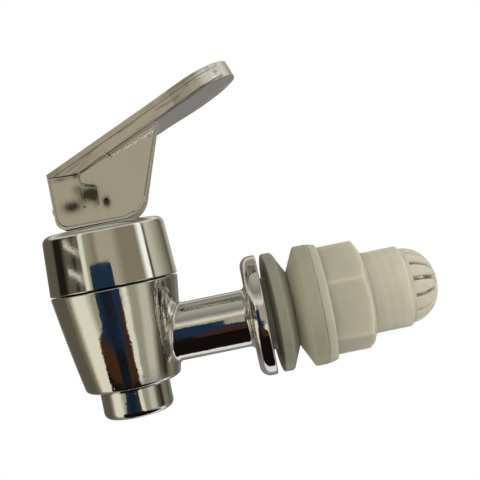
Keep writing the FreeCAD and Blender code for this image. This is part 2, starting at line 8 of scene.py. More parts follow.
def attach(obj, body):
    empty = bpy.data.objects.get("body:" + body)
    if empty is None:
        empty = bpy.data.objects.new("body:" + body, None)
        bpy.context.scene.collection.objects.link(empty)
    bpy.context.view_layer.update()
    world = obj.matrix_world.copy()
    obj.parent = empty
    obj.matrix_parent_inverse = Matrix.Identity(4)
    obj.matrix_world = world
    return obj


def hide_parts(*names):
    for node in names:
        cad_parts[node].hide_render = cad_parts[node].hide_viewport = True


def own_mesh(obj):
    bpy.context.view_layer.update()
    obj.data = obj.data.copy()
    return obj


# Chromed spigot of a drinks dispenser. Sizes of the pieces are millimetres, those of the stage are metres.
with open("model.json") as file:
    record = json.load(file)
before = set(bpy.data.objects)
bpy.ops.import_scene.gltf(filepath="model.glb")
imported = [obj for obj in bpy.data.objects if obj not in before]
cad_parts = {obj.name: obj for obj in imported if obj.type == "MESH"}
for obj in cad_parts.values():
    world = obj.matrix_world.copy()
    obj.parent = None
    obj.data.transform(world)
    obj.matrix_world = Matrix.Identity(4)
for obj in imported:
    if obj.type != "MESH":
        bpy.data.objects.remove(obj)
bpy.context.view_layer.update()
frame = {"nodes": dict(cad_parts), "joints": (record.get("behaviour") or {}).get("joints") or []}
print("frame loaded")

cupAxis = Vector((-35.5, 0, 0))  # foot of the cup's axis, seen from the flange
toCup = Matrix.Translation(cupAxis)
leverTurn = math.radians(5.0)    # the lever is turned a little on its stem
fullTurn = 2 * math.pi
millimetre = 0.001               # in metres
samePlace = 0.001                # two places closer than this many millimetres are one
white = (1, 1, 1, 1)


# Mesh helpers
def cornerPoint(along, radius, axis):
    return (along, 0, radius) if axis == "X" else (radius, 0, along)


def wireOf(points, closed):
    bm = bmesh.new()
    verts = [bm.verts.new(point) for point in points]
    for first, second in zip(verts, verts[1:]):
        bm.edges.new((first, second))
    if closed:
        bm.edges.new((verts[-1], verts[0]))
    return bm, verts


def roundCorners(bm, verts, roundings, segments=6):
    for vert, rounding in zip(verts, roundings):
        if rounding:
            bmesh.ops.bevel(bm, geom=[vert], offset=rounding, offset_type="OFFSET", segments=segments,
                            profile=0.5, affect="VERTICES", material=-1)


def softenEdges(bm, edges, width, segments):
    bmesh.ops.bevel(bm, geom=edges, offset=width, offset_type="OFFSET", segments=segments, profile=0.5,
                    affect="EDGES", material=-1, clamp_overlap=True)


def closeUp(bm):
    bmesh.ops.remove_doubles(bm, verts=bm.verts[:], dist=0.0005)
    bmesh.ops.recalc_face_normals(bm, faces=bm.faces[:])
    return bm


def thicken(bm, offset):
    made = bmesh.ops.extrude_face_region(bm, geom=bm.faces[:])
    lifted = [item for item in made["geom"] if isinstance(item, bmesh.types.BMVert)]
    bmesh.ops.translate(bm, verts=lifted, vec=offset)


# A turned part: corners are (along the axis, radius, rounding).
def turned(corners, axis, steps=160, closed=False, segments=6):
    points = [cornerPoint(along, radius, axis) for along, radius, rounding in corners]
    bm, verts = wireOf(points, closed)
    roundCorners(bm, verts, [corner[2] for corner in corners], segments)
    turnAxis = (1, 0, 0) if axis == "X" else (0, 0, 1)
    bmesh.ops.spin(bm, geom=bm.verts[:] + bm.edges[:], cent=(0, 0, 0), axis=turnAxis,
                   angle=fullTurn, steps=steps, use_merge=True)
    return closeUp(bm)


# A helical ridge about X. Its cross-section is (along from the start, radius).
def ridge(section, pitch, turns, start=0.0, steps=72):
    bm, verts = wireOf([cornerPoint(start + along, radius, "X") for along, radius in section], True)
    bm.faces.new(verts)
    bmesh.ops.spin(bm, geom=bm.verts[:] + bm.edges[:] + bm.faces[:], cent=(0, 0, 0), axis=(1, 0, 0),
                   dvec=(pitch / steps, 0, 0), angle=fullTurn * turns, steps=int(steps * turns))
    return closeUp(bm)


# A plate across Y: corners of its outline are (x, z, rounding).
def slab(corners, nearSide, farSide, segments=8):
    bm, verts = wireOf([(x, nearSide, z) for x, z, rounding in corners], True)
    roundCorners(bm, verts, [corner[2] for corner in corners], segments)
    bmesh.ops.contextual_create(bm, geom=bm.edges[:])
    thicken(bm, (0, farSide - nearSide, 0))
    return closeUp(bm)


def meshOf(bm, name="scratch"):
    mesh = bpy.data.meshes.new(name)
    bm.to_mesh(mesh)
    bm.free()
    return mesh


def newObject(name, data):
    made = bpy.data.objects.new(name, data)
    bpy.context.scene.collection.objects.link(made)
    return made


def joined(parts):
    whole = bmesh.new()
    for part in parts:
        mesh = meshOf(part)
        whole.from_mesh(mesh)
        bpy.data.meshes.remove(mesh)
    return whole


def combine(base, tool, operation):
    solids = [newObject("scratch", meshOf(part)) for part in (base, tool)]
    modifier = solids[0].modifiers.new("combine", "BOOLEAN")
    modifier.operation = operation
    modifier.solver = "EXACT"
    modifier.object = solids[1]
    graph = bpy.context.evaluated_depsgraph_get()
    result = bmesh.new()
    result.from_mesh(bpy.data.meshes.new_from_object(solids[0].evaluated_get(graph)))
    for solid in solids:
        bpy.data.objects.remove(solid)
    return result


def moved(bm, matrix):
    bmesh.ops.transform(bm, matrix=matrix, verts=bm.verts[:])
    return bm


# Turns the finished mesh into a piece of the model, in metres.
def addPiece(name, bm, material, body, node, sharpAngle=32.0):
    moved(bm, Matrix.Scale(millimetre, 4))
    limit = math.radians(sharpAngle)
    for face in bm.faces:
        face.smooth = True
    for edge in bm.edges:
        edge.smooth = len(edge.link_faces) != 2 or edge.calc_face_angle(0) <= limit
    mesh = meshOf(bm, name)
    mesh.materials.append(material)
    piece = newObject(name, mesh)
    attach(piece, body)
    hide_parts(node)
    weigh = piece.modifiers.new("flatNormals", "WEIGHTED_NORMAL")   # flats stay flat beside roundings
    weigh.keep_sharp = True
    weigh.weight = 80
    print(name, "has", len(mesh.polygons), "faces")
    return piece


# Shader helpers
class Field:
    def __init__(self, shader, socket):
        self.shader = shader
        self.socket = socket

    def math(self, operation, other=0.0):
        return self.shader.node("ShaderNodeMath", {"operation": operation}, {0: self, 1: other})

    def __add__(self, other):
        return self.math("ADD", other)

    def __sub__(self, other):
        return self.math("SUBTRACT", other)

    def __rsub__(self, other):
        return self.shader.node("ShaderNodeMath", {"operation": "SUBTRACT"}, {0: other, 1: self})

    def __mul__(self, other):
        return self.math("MULTIPLY", other)

    def size(self):
        return self.math("ABSOLUTE")

    def part(self, axis):
        return self.shader.node("ShaderNodeSeparateXYZ", {}, {0: self}, axis)

    def length(self):
        return self.shader.node("ShaderNodeVectorMath", {"operation": "LENGTH"}, {0: self}, "Value")

    # Rises smoothly from 0 at low to 1 at high.
    def between(self, low, high):
        return self.shader.node("ShaderNodeMapRange", {"interpolation_type": "SMOOTHSTEP"}, {
            "Value": self, "From Min": low, "From Max": high})

    # One from low to high, with a soft edge inside both ends.
    def within(self, low, high, edge):
        return self.between(low, low + edge) * (1 - self.between(high - edge, high))


class Shader:
    def __init__(self, tree):
        self.tree = tree
        tree.nodes.clear()

    def node(self, kind, settings=None, sockets=None, out=0):
        made = self.tree.nodes.new(kind)
        for key, setting in (settings or {}).items():
            if key == "stops":
                ramp = made.color_ramp
                while len(ramp.elements) < len(setting):
                    ramp.elements.new(0.5)
                for element, (position, colour) in zip(ramp.elements, setting):
                    element.position = position
                    element.color = colour
            else:
                setattr(made, key, setting)
        for key, value in (sockets or {}).items():
            if isinstance(value, Field):
                self.tree.links.new(value.socket, made.inputs[key])
            else:
                made.inputs[key].default_value = value
        return Field(self, made.outputs[out])

    def place(self):
        return self.node("ShaderNodeTexCoord", out="Object")

    def noise(self, place, scale, detail=3.0, roughness=0.6):
        return self.node("ShaderNodeTexNoise", {}, {
            "Vector": place, "Scale": scale, "Detail": detail, "Roughness": roughness})

    def mix(self, mask, first, second, mode="MIX"):
        return self.node("ShaderNodeMix", {"data_type": "RGBA", "blend_type": mode},
                         {0: mask, 6: first, 7: second}, 2)

    def glow(self, colour):
        return self.node("ShaderNodeEmission", {}, {"Color": colour, "Strength": 1.0})

    def finish(self, surface, kind="ShaderNodeOutputMaterial"):
        output = self.tree.nodes.new(kind)
        self.tree.links.new(surface.socket, output.inputs["Surface"])


def newMaterial(name):
    material = bpy.data.materials.new(name)
    material.use_nodes = True
    return material, Shader(material.node_tree)


toMillimetres = (1000, 1000, 1000)


def objectPoint(shader):
    return shader.node("ShaderNodeMapping", {}, {"Vector": shader.place(), "Scale": toMillimetres})


# A bell over a squared distance: one in the middle, next to nothing beyond two widths.
def falloff(squared, width):
    return (squared * (-1 / width ** 2)).math("EXPONENT")


# Bright plating over a moulding: nearly a mirror, with a slow waviness and a few specks.
platingLook = {
    "colour": (0.80, 0.795, 0.78, 1), "roughness": 0.045, "smear": 0.07, "smearFrom": 0.45, "smearTo": 0.75,
    "wave": 0.16, "waveScale": 0.10, "peelScale": 1.1, "peel": 0.016, "smudgeScale": 0.16,
    "pitScale": 0.42, "pit": 0.02, "pitEdge": (0.04, 0.13), "pitPatches": (0.50, 0.62)}

# Marks of the lever's mould and its painted darkness, along and up from the cup's axis. Dents are (along, up,
# radius, depth),
# # and dark patches, painted dark reflections in and around the dents, are (along, up, half length, half
# height, darkness).
leverMarks = {
    "dents": [(-5.4, 34.9, 1.5, 0.12), (-1.2, 37.3, 1.6, 0.12), (2.75, 34.6, 0.8, 0.12),
              (5.25, 45.5, 0.30, 0.06), (4.6, 46.0, 0.22, 0.05), (15.8, 48.2, 0.22, 0.04),
              (-2.6, 34.5, 0.22, 0.04)],
    "darkPatches": [(-5.5, 35.0, 2.0, 1.3, 1.15), (-1.3, 37.2, 2.0, 1.7, 1.25), (0.2, 36.6, 0.7, 2.2, 0.8),
               (2.75, 34.7, 0.85, 1.2, 1.3), (-6.8, 42.0, 1.9, 0.5, 0.55), (-3.3, 42.2, 0.9, 0.7, 0.7),
               (-3.4, 39.0, 1.2, 1.0, 0.45), (5.6, 45.1, 0.45, 0.4, 0.7), (-2.6, 34.4, 0.3, 0.25, 0.8),
               (15.8, 48.2, 0.3, 0.3, 0.6)],
    "darkPaintColour": (0.055, 0.048, 0.034, 1), "darkPatchTilt": 0.35, "darkPatchStretch": (3.2, 1, 0.35),
    "darkPatchBreak": (1.5, 0.25), "darkPatchMost": 0.95, "nearSide": (-7.4, -7.0),
    "seam": (4.6, 44.75, 0.36), "seamEnd": 17.6, "seamFade": 1, "seamWidth": 0.26, "seamDepth": 0.08,
    "seamGritGlint": 3.2, "seamPatches": (0.45, 0.58), "seamWall": (7.1, 7.5),
    "glint": (0.92, 0.91, 0.87, 1), "glintDull": 0.85,
    "grooves": [
        {"width": 0.13, "depth": 0.05,
         "line": [(-9.45, 42.2), (-9.4, 32.3), (-8.8, 31.1), (-7.5, 30.5), (5.9, 30.35), (9.3, 31.2),
                  (11.8, 34.3), (17.8, 50.4)]},
        {"width": 0.18, "depth": 0.14,
         "line": [(-2.5, 43.0), (-2.55, 40.2), (-1.9, 39.6), (0.9, 38.8), (0.73, 34.2)]}],
    "grooveShade": 0.55,
    "brushEdge": (8.12, 8.22), "brush": 0.05, "streaks": (0.50, 0.68), "streakReflectionDark": 0.38, "waver": 0.5,
    "lines": [(1.15, 0.11, 0.75), (3.85, 0.17, 0.9)],   # painted dark lines, a reflection by the top edge and shade under the ledge: drop below the paddle's top, width, darkness
    "paddleTop": (43.3, -10.0, 23.6),                   # height, where along, slope
    "slotDrop": 3.2, "slotFade": 0.2, "slotWall": (6.7, 7.1), "slotEnd": (18.0, 19.0),
    "slotColour": (0.44, 0.405, 0.32, 1), "slotDull": 0.8, "slotRough": 0.35}


def leverPoint(shader):
    foot = tuple(millimetre * side for side in cupAxis)
    centred = shader.node("ShaderNodeVectorMath", {"operation": "SUBTRACT"}, {0: shader.place(), 1: foot})
    return shader.node("ShaderNodeMapping", {}, {
        "Vector": centred, "Rotation": (0, 0, -leverTurn), "Scale": toMillimetres})


# Noise drawn out along the paddle, as its mould was brushed.
def brushNoise(shader, local, slope, scale, roughness):
    drawn = shader.node("ShaderNodeMapping", {"vector_type": "TEXTURE"}, {
        "Vector": local, "Rotation": (0, -math.radians(slope), 0), "Scale": (16, 1, 1)})
    return shader.noise(drawn, scale, 2.0, roughness)


# The slot between the cheeks, where the plating is thin and dull.
def insideSlot(local, marks):
    top, back, slope = marks["paddleTop"]
    along = local.part("X")
    limit = (along - back) * math.tan(math.radians(slope)) + (top - marks["slotDrop"])
    below = 1 - (local.part("Z") - limit).between(-marks["slotFade"], marks["slotFade"])
    aside = local.part("Y").size().between(*marks["slotWall"])
    return below * (1 - aside) * (1 - along.between(*marks["slotEnd"]))


# Depth of a groove pressed along a line of corners.
def grooveDepth(along, up, groove):
    nearest = None
    for (x, z), (nextX, nextZ) in zip(groove["line"], groove["line"][1:]):
        spanX = nextX - x
        spanZ = nextZ - z
        share = ((along - x) * spanX + (up - z) * spanZ) * (1 / (spanX ** 2 + spanZ ** 2))
        share = share.math("MAXIMUM", 0.0).math("MINIMUM", 1.0)
        offX = along - x - share * spanX
        offZ = up - z - share * spanZ
        reach = offX * offX + offZ * offZ
        nearest = nearest.math("MINIMUM", reach) if nearest else reach
    return falloff(nearest, groove["width"]) * groove["depth"]


# Painted darkness: painted dark reflections as patches on the near cheek and as streaks and lines on the
# paddle's side,
# # painted shade under the ledge and in the groove round the cheek.
def paintedDarkening(shader, local, marks, colour):
    along = local.part("X")
    up = local.part("Z")
    dark = 0
    # Dark patches: painted dark reflections in and around the dents.
    for x, z, length, height, depth in marks["darkPatches"]:
        reach = (along - x) * (along - x) * (-1 / length ** 2) - (up - z) * (up - z) * (1 / height ** 2)
        dark = reach.math("EXPONENT") * depth + dark
    tilted = shader.node("ShaderNodeMapping", {}, {
        "Vector": local, "Rotation": (0, marks["darkPatchTilt"], 0), "Scale": marks["darkPatchStretch"]})
    gain, base = marks["darkPatchBreak"]
    broken = dark * (shader.noise(tilted, 1.0) * gain + base)
    near = 1 - local.part("Y").between(*marks["nearSide"])
    top, back, slope = marks["paddleTop"]
    angle = math.radians(slope)
    below = ((along - back) * math.tan(angle) + top - up) * math.cos(angle)
    side = local.part("Y").size().between(*marks["brushEdge"])
    drawn = brushNoise(shader, local, slope, 1.1, 0.6)
    # Painted dark reflections, streaked along the brushing on the paddle's side.
    streak = drawn.between(*marks["streaks"]) * marks["streakReflectionDark"]
    # Painted dark lines: a painted reflection near the paddle's top edge and painted shade under the ledge.
    for drop, width, darkness in marks["lines"]:
        offset = below - drop - (drawn - 0.5) * marks["waver"]
        streak = streak.math("MAXIMUM", falloff(offset * offset, width) * darkness)
    # Painted shade in the groove round the cheek, off the paddle's side.
    edge = grooveDepth(along, up, {**marks["grooves"][0], "depth": marks["grooveShade"]}) * (1 - side)
    # The painted dark reflections show on the near cheek only.
    patchDark = broken.math("MINIMUM", marks["darkPatchMost"]) * near
    whole = patchDark.math("MAXIMUM", streak * side).math("MAXIMUM", edge)
    return shader.mix(whole, colour, marks["darkPaintColour"])


# A ragged flash line under the paddle, broken up along a straight band: a raised ridge in the bump and a
# painted highlight in the colour.
def seamGritGlint(shader, local, marks):
    x, z, slope = marks["seam"]
    along = local.part("X")
    offset = local.part("Z") - z - (along - x) * slope
    inside = along.within(x, marks["seamEnd"], marks["seamFade"])
    outer = local.part("Y").size().between(*marks["seamWall"])
    ragged = shader.noise(local, marks["seamGritGlint"], 2.0, 0.6).between(*marks["seamPatches"])
    return falloff(offset * offset, marks["seamWidth"]) * inside * outer * ragged


def markedHeight(shader, local, marks):
    along = local.part("X")
    up = local.part("Z")
    side = local.part("Y").size().between(*marks["brushEdge"])
    height = 0
    for groove in marks["grooves"]:
        height = height - grooveDepth(along, up, groove)
    streaks = brushNoise(shader, local, marks["paddleTop"][2], 0.75, 0.55)
    height = height * (1 - side) + streaks * marks["brush"] * side
    for x, z, radius, depth in marks["dents"]:
        reach = (along - x) * (along - x) + (up - z) * (up - z)
        height = height - falloff(reach, radius) * depth
    return height


def platingMaterial(name, look, marks=None):
    material, shader = newMaterial(name)
    place = objectPoint(shader)
    wave = shader.noise(place, look["waveScale"], 1.5, 0.45)
    peel = shader.noise(place, look["peelScale"], 2.0, 0.6)
    smudge = shader.noise(place, look["smudgeScale"], 4.0, 0.65)
    cells = shader.node("ShaderNodeTexVoronoi", {"feature": "F1"}, {
        "Vector": place, "Scale": look["pitScale"]})
    pits = (1 - cells.between(*look["pitEdge"])) * smudge.between(*look["pitPatches"])
    height = wave * look["wave"] + peel * look["peel"] - pits * look["pit"]
    rough = shader.node("ShaderNodeMapRange", {}, {
        "Value": smudge, "From Min": look["smearFrom"], "From Max": look["smearTo"],
        "To Min": look["roughness"], "To Max": look["roughness"] + look["smear"]})
    colour = look["colour"]
    metal = 1.0
    if "creviceShade" in look:   # painted shade and dirt in the joint between the cup and its cap
        joint = place.part("Z").within(*look["creviceShade"]) * (1 - place.part("X").between(*look["creviceShadeSide"]))
        colour = shader.mix(joint, colour, look["creviceShadeColour"])
    if marks:
        local = leverPoint(shader)
        dull = insideSlot(local, marks)
        gritGlint = seamGritGlint(shader, local, marks)
        height = height + markedHeight(shader, local, marks) + gritGlint * marks["seamDepth"]
        colour = shader.mix(dull, paintedDarkening(shader, local, marks, colour), marks["slotColour"])
        # Painted highlight: the flash line is painted bright and made less metallic.
        colour = shader.mix(gritGlint, colour, marks["glint"])
        metal = 1 - (dull * marks["slotDull"]).math("MAXIMUM", gritGlint * marks["glintDull"])
        rough = rough + dull * marks["slotRough"]
    bump = shader.node("ShaderNodeBump", {}, {"Strength": 1.0, "Distance": millimetre, "Height": height})
    shader.finish(shader.node("ShaderNodeBsdfPrincipled", {}, {
        "Base Color": colour, "Metallic": metal, "Roughness": rough, "Normal": bump}))
    return material


# Silicone rubber of the washers: grey, cloudy, a little see-through.
siliconeLook = {
    "colour": (0.168, 0.165, 0.118, 1), "pale": (0.215, 0.211, 0.154, 1), "roughness": 0.36,
    "cloudScale": 0.12, "grain": (2.4, 3.0, 0.6), "bump": 0.35, "refraction": 1.41,
    "through": 0.5, "reach": (0.004, 0.004, 0.0035), "spread": 0.6}
# The inner washer: its cone is painted paler, painted light that lifts the shade it gets from facing away
# from the lamps.
paleSiliconeLook = {
    **siliconeLook, "colour": (0.235, 0.222, 0.155, 1), "pale": (0.285, 0.268, 0.19, 1), "roughness": 0.40,
    "cone": (0.41, 0.385, 0.275, 1), "coneEnd": (8.9, 9.9)}
seatLook = {**siliconeLook, "colour": (0.50, 0.48, 0.41, 1), "pale": (0.60, 0.58, 0.51, 1), "roughness": 0.38}

# Natural plastic of the nut: milky and warm, painted paler towards the crown for the light that shines
# through its thin wall,
# # with painted faint shading of the inner thread seen through the wall.
naturalLook = {
    "thick": (0.35, 0.33, 0.255, 1), "thin": (0.475, 0.442, 0.347, 1), "shineThroughSpan": (12.9, 40.0),
    "roughness": 0.34, "cloud": 0.56, "cloudScale": 0.16, "thread": (25.5, 35.5, 2), "pitch": 2.4,
    "ghost": 0.10, "grain": (1.6, 4.0, 0.65), "bump": 0.3, "refraction": 1.49,
    "through": 1.0, "reach": (0.006, 0.0055, 0.0045), "spread": 1.0}
stemLook = {**naturalLook, "thick": (0.60, 0.585, 0.53, 1), "thin": (0.66, 0.64, 0.58, 1), "ghost": 0.0}


# What rubber and plastic share: light goes through them, and a grain of (scale, detail, roughness) dulls
# the gloss.
def finishSoft(shader, look, place, colour):
    grain = shader.noise(place, *look["grain"])
    bump = shader.node("ShaderNodeBump", {}, {
        "Strength": look["bump"], "Distance": 0.1 * millimetre, "Height": grain})
    shader.finish(shader.node("ShaderNodeBsdfPrincipled", {}, {
        "Base Color": colour, "Roughness": look["roughness"], "Normal": bump, "IOR": look["refraction"],
        "Subsurface Weight": look["through"], "Subsurface Radius": look["reach"],
        "Subsurface Scale": look["spread"]}))


def siliconeMaterial(name, look):
    material, shader = newMaterial(name)
    place = objectPoint(shader)
    cloud = shader.noise(place, look["cloudScale"])
    colour = shader.mix(cloud, look["colour"], look["pale"])
    # Painted light: the cone is made paler to lift its shade.
    if "cone" in look:
        cone = 1 - place.part("X").between(*look["coneEnd"])
        colour = shader.mix(cone, colour, look["cone"])
    finishSoft(shader, look, place, colour)
    return material


def naturalMaterial(name, look):
    material, shader = newMaterial(name)
    place = objectPoint(shader)
    cloud = shader.noise(place, look["cloudScale"])
    along = place.part("X")
    turn = place.part("Z").math("ARCTAN2", place.part("Y")) * (1 / fullTurn)
    rings = ((along * (1 / look["pitch"]) - turn) * fullTurn).math("SINE")
    # Painted light: paler towards the crown where light shines through the thin wall, and painted shading of
    # the inner thread seen through it.
    share = along.between(*look["shineThroughSpan"]) + (cloud - 0.5) * look["cloud"] \
        + rings * along.within(*look["thread"]) * look["ghost"]
    finishSoft(shader, look, place, shader.mix(share, look["thick"], look["thin"]))
    return material


# Plating with painted shade and dirt darkening the joint between the cup and its cap.
jointLook = {**platingLook, "creviceShade": (14.16, 14.72, 0.08), "creviceShadeSide": (-16.0, -15.0),
             "creviceShadeColour": (0.035, 0.03, 0.024, 1)}
plating = platingMaterial("plating", jointLook)
leverPlating = platingMaterial("leverPlating", platingLook, leverMarks)
bonnetPlating = platingMaterial("bonnetPlating", {**jointLook, "peel": 0.0015, "wave": 0.035})
springWire = platingMaterial("springWire", {
    **platingLook, "colour": (0.50, 0.49, 0.47, 1), "roughness": 0.17, "waveScale": 0.5, "wave": 0.02,
    "peelScale": 3.0, "peel": 0.006})
silicone = siliconeMaterial("silicone", siliconeLook)
paleSilicone = siliconeMaterial("paleSilicone", paleSiliconeLook)
seatSilicone = siliconeMaterial("seatSilicone", seatLook)
natural = naturalMaterial("naturalPlastic", naturalLook)
stemPlastic = naturalMaterial("stemPlastic", stemLook)
print("materials made")

# Cup, nozzle, side tube, clamp flange and threaded shank: one casting.
spigotSizes = {
    "port": 5.0, "seatOut": 6.2, "seatTop": -7.4, "floor": -8.2, "cavityFoot": 9.7, "cavityBend": 4.0,
    "cavity": 11.5, "neck": 13.5, "neckTop": 21.4, "shoulder": 14.3, "cup": 15.8, "belly": 13.8,
    "bellyReach": 9.5, "foot": 11.7, "footDepth": -10.4, "footRound": 2.0, "nozzle": 8.7, "nozzleBore": 6.7,
    "nozzleDepth": -17.5, "nozzleRound": 1.7, "funnelFoot": -11.0, "funnelTop": -10.0, "tubeStart": 11.0,
    "tube": 7.1, "bore": 5.0, "flange": 15.0, "flangeThick": 4.2, "flangeRound": 2.6, "tubeRoot": 1.2,
    "reach": 35.5, "shankEnd": 68.5, "threadRoot": 6.9, "pitch": 2.4, "threadStart": 36.8,
    "threadSection": [(0, 6.8), (0.65, 7.9), (1.15, 7.9), (1.8, 6.8)], "saddle": 0.9, "saddleStand": 0.02,
    "saddleSink": 0.03, "bellyMiddle": 13.66, "bellyLean": 0.171, "bellyBow": -0.00165}


# The root of the tube: a flare turned about the tube's axis and laid on the cup's wall.
def saddleBlend(s):
    flare = turned([
        (s["saddleStand"], s["tube"] + 2 * s["saddle"], 0), (s["saddleStand"], s["tube"], s["saddle"]),
        (2 * s["saddle"], s["tube"] - s["saddleSink"], 0)], "X", steps=192, segments=10)
    for vert in flare.verts:
        height = vert.co.z
        wall = s["bellyMiddle"] + s["bellyLean"] * height + s["bellyBow"] * height * height
        vert.co.x += math.sqrt(wall * wall - vert.co.y ** 2)
    return flare


def buildSpigot(s):
    cup = turned([
        (s["seatTop"], s["port"], 0.2), (s["seatTop"], s["seatOut"], 0.2), (s["floor"], s["seatOut"], 0),
        (s["floor"], s["cavityFoot"], 0.6), (s["cavityBend"], s["cavity"], 0),
        (s["neckTop"], s["cavity"], 0.2), (s["neckTop"], s["neck"], 0.3), (s["shoulder"], s["neck"], 0),
        (s["shoulder"], s["cup"], 0.3), (0, s["belly"], s["bellyReach"]),
        (s["footDepth"], s["foot"], s["footRound"]),
        (s["footDepth"], s["nozzle"], 0.5), (s["nozzleDepth"], s["nozzle"], s["nozzleRound"]),
        (s["nozzleDepth"], s["nozzleBore"], 0.4), (s["funnelFoot"], s["nozzleBore"], 0),
        (s["funnelTop"], s["port"], 0)], "Z", steps=192, closed=True, segments=10)
    flangeFront = s["reach"] - s["flangeThick"]
    tube = turned([
        (s["tubeStart"], s["bore"], 0), (s["tubeStart"], s["tube"], 0),
        (flangeFront, s["tube"], s["tubeRoot"]), (flangeFront, s["flange"], s["flangeRound"]),
        (s["reach"], s["flange"], 0.5),
        (s["reach"], s["threadRoot"], 0.3), (s["shankEnd"], s["threadRoot"], 0.6),
        (s["shankEnd"], s["bore"], 0.3)], "X", closed=True, segments=10)
    turns = (s["shankEnd"] - s["threadStart"] - s["pitch"]) / s["pitch"]
    thread = ridge(s["threadSection"], s["pitch"], turns, s["threadStart"])
    return moved(joined([cup, tube, thread, saddleBlend(s)]), toCup)


addPiece("spigotBody", buildSpigot(spigotSizes), plating, "body", "spigot_body")

bonnetSizes = {"seam": 14.6, "skirt": 13.8, "rim": 15.8, "top": 15.05, "height": 29.4, "topRound": 1.8,
               "hole": 3.0, "ceiling": 26.4, "recess": 11.5, "ledge": 23.0}


def buildBonnet(s):
    cap = turned([
        (s["seam"], s["skirt"], 0.2), (s["seam"], s["rim"], 0.3), (s["height"], s["top"], s["topRound"]),
        (s["height"], s["hole"], 0.3), (s["ceiling"], s["hole"], 0), (s["ceiling"], s["recess"], 0),
        (s["ledge"], s["recess"], 0), (s["ledge"], s["skirt"], 0)], "Z", steps=192, closed=True, segments=10)
    return moved(cap, toCup)


addPiece("bonnetCap", buildBonnet(bonnetSizes), bonnetPlating, "body", "bonnet")

# Lever: hollow cheeks under a paddle that ends in a round lobe.
leverSizes = {
    "back": -10.0, "footHeight": 29.7, "front": 10.6, "lean": 19.1, "camReach": 4.6, "heelReach": 2.4,
    "frontRound": 0.6, "cheekHalf": 8.0, "cheekEdge": 0.4, "backRise": 43.3, "slope": 23.6, "heelFill": 0.35,
    "slotHalf": 6.2, "slotFoot": 26.7, "slotBack": -8.2, "slotFront": 26.6,
    "thickness": 4.1, "bendStart": 33.0, "bendRate": 0.20, "bendSlice": 0.8, "length": 52.6,
    "heelHalf": 8.6, "waistHalf": 11.2, "lobe": 12.5, "easeBack": 12.0, "easeAhead": 5.0, "easeSteps": 34,
    "topEdge": 0.95, "bottomEdge": 0.8,
    "heelCut": [(-12.0, 33.8, 0), (2.1, 33.8, 0), (-1.9, 42.35, 0), (-12.0, 42.8, 0)],
    "step": [(-10.6, 44.4, 0), (-2.5, 44.4, 0), (-2.6, 40.1, 0.4), (0.95, 38.8, 0.4), (0.72, 33.6, 0.3),
             (-0.6, 33.2, 0.8), (-10.6, 33.2, 0)],
    "stepDepth": 0.36, "stepEdge": 0.3, "stepStand": 0.02, "stepFade": 5.0,
    "gate": (-10.05, -5.0, 34.6), "gateSize": 0.85, "gateStretch": (0.7, 1.6, 1.3, 1),
    "pivot": 33.6, "roll": 1.6, "socket": 1.7, "socketEnd": 7.3}


# The flat paddle blank lies in XY with its top at z = 0, sliced so that it can bend.
def paddleBlank(s):
    lobeCentre = s["length"] - s["lobe"]
    waist = lobeCentre - math.sqrt(s["lobe"] ** 2 - s["waistHalf"] ** 2)
    bm = bmesh.new()
    bmesh.ops.create_circle(bm, radius=s["lobe"], segments=96)
    bmesh.ops.translate(bm, verts=bm.verts[:], vec=(lobeCentre, 0, 0))
    bmesh.ops.bisect_plane(bm, geom=bm.verts[:] + bm.edges[:], dist=0.0001,
                           plane_co=(waist, 0, 0), plane_no=(1, 0, 0), clear_inner=True)
    ends = [vert for vert in bm.verts if len(vert.link_edges) == 1]
    made = bmesh.ops.extrude_vert_indiv(bm, verts=ends)
    for vert in made["verts"]:
        vert.co = (0, math.copysign(s["heelHalf"], vert.co.y), 0)
    bmesh.ops.subdivide_edges(bm, edges=made["edges"], cuts=40)
    eased = [vert for vert in bm.verts if -s["easeBack"] < vert.co.x - waist < s["easeAhead"]]
    for step in range(s["easeSteps"]):   # no corner where the straight sides run into the lobe
        bmesh.ops.smooth_vert(bm, verts=eased, factor=0.5, use_axis_y=True)
    bmesh.ops.contextual_create(bm, geom=[vert for vert in bm.verts if len(vert.link_edges) == 1])
    bmesh.ops.contextual_create(bm, geom=bm.edges[:])
    thicken(bm, (0, 0, -s["thickness"]))
    closeUp(bm)
    for height, width in ((0, s["topEdge"]), (-s["thickness"], s["bottomEdge"])):
        rim = [edge for edge in bm.edges if all(abs(vert.co.z - height) < samePlace for vert in edge.verts)
               and max(vert.co.x for vert in edge.verts) > samePlace]
        softenEdges(bm, rim, width, 6)
    station = s["bendStart"] - 1
    while station < s["length"]:
        bmesh.ops.bisect_plane(bm, geom=bm.verts[:] + bm.edges[:] + bm.faces[:], dist=0.0001,
                               plane_co=(station, 0, 0), plane_no=(1, 0, 0))
        station += s["bendSlice"]
    return bm


def bendPaddle(bm, s):
    slope = math.radians(s["slope"])
    rate = math.radians(s["bendRate"])
    for vert in bm.verts:
        along, across, up = vert.co
        straight = min(along, s["bendStart"])
        bent = along - straight
        x = s["back"] + straight * math.cos(slope)
        z = s["backRise"] + straight * math.sin(slope)
        angle = slope - rate * bent
        if bent > 0:
            x += (math.sin(slope) - math.sin(angle)) / rate
            z += (math.cos(angle) - math.cos(slope)) / rate
        vert.co = (x - up * math.sin(angle), across, z + up * math.cos(angle))
    return bm


# Height of a line that lies a drop below the paddle's top.
def paddleUnder(s, x, drop):
    slope = math.radians(s["slope"])
    return s["backRise"] + (x - s["back"]) * math.tan(slope) - drop / math.cos(slope)


